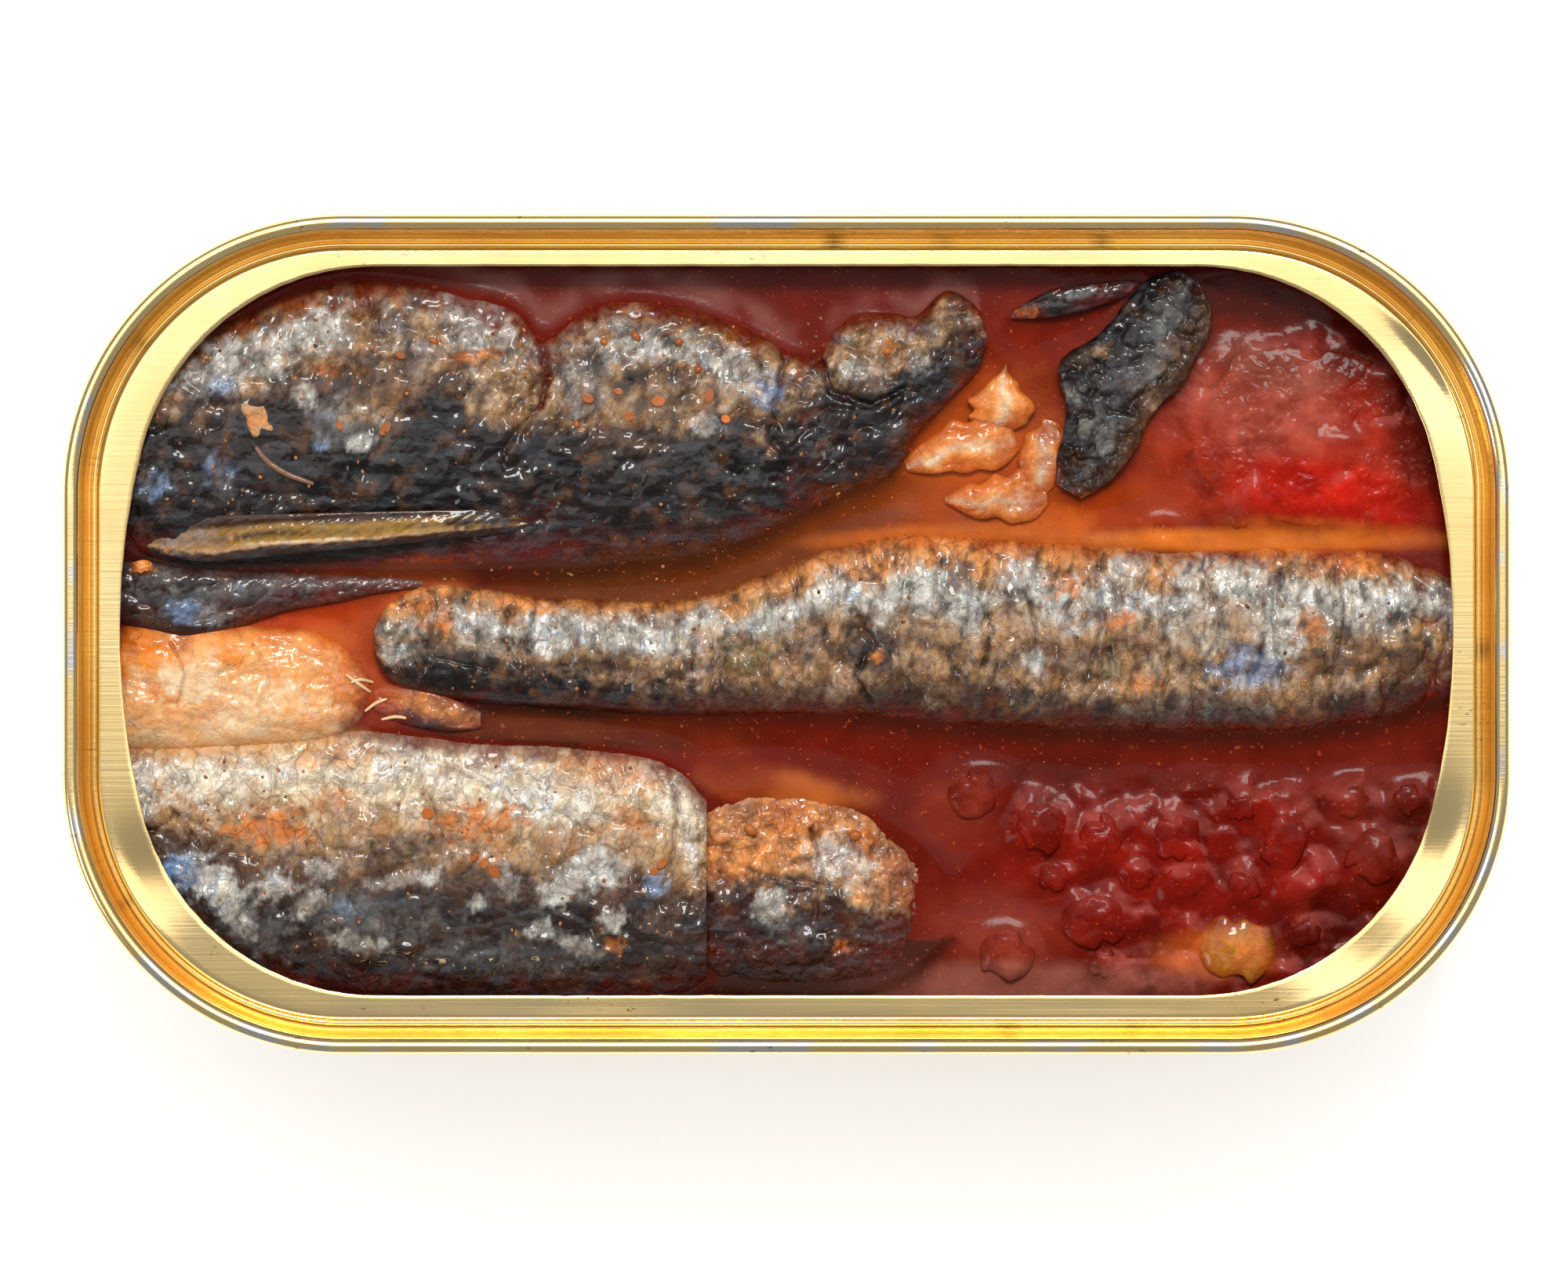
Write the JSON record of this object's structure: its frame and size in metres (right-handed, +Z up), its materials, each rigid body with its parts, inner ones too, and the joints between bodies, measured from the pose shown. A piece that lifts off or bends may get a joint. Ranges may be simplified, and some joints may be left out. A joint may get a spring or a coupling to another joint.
{
  "type": "sardine tin",
  "caption": "Low rounded steel tin with its lid torn out inside the seam, filled with sardines in tomato sauce.",
  "frame": {"origin": "middle of the tin on the surface it stands on", "axes": "+X along the tin's length, +Y towards the rear long side, +Z up"},
  "size_m": [0.1046, 0.0606, 0.0285],
  "materials": {
    "tin_inside_out": "drawn tinplate with a clear gold lacquer, glossy, with fine drawing lines",
    "lid_lacquer": "rolled tinplate with a clear gold lacquer, glossy, with fine rolling grain along X",
    "tomato_sauce": "wet thick tomato sauce with a film of orange oil",
    "dark_skin": "wet dark fish skin with silver and brown patches",
    "silver_skin": "wet silver-grey fish skin with crackled scales and orange oil",
    "cream_skin": "wet cream and silver fish skin with orange patches and a dark back",
    "pale_flesh": "moist flaky cooked fish flesh stained by oil",
    "bone": "wet olive and tan bone with fin rays",
    "tomato_pulp": "wet tomato pulp, red to orange",
    "pepper_flesh": "wet cooked pepper, yellow-olive to orange"
  },
  "bodies": {
    "root": {"tin_body": "tin_inside_out", "lid_ring": "lid_lacquer", "sauce": "tomato_sauce", "sardine_rear": "dark_skin", "sardine_middle": "silver_skin", "sardine_front": "cream_skin", "sardine_short": "silver_skin", "belly_flesh": "pale_flesh", "belly_strip": "dark_skin", "bone_strip": "bone", "tail_stub": "dark_skin", "fin_strip": "dark_skin", "flesh_stub": "pale_flesh", "flake_1": "pale_flesh", "flake_2": "pale_flesh", "flake_3": "pale_flesh", "flake_4": "pale_flesh", "pulp_mound": "tomato_pulp", "tomato_lump_1": "tomato_pulp", "tomato_lump_2": "tomato_pulp", "tomato_lump_3": "tomato_pulp", "tomato_lump_4": "tomato_pulp", "tomato_lump_5": "tomato_pulp", "tomato_lump_6": "tomato_pulp", "tomato_lump_7": "tomato_pulp", "tomato_lump_8": "tomato_pulp", "pepper_chunk": "pepper_flesh"}
  },
  "joints": []
}
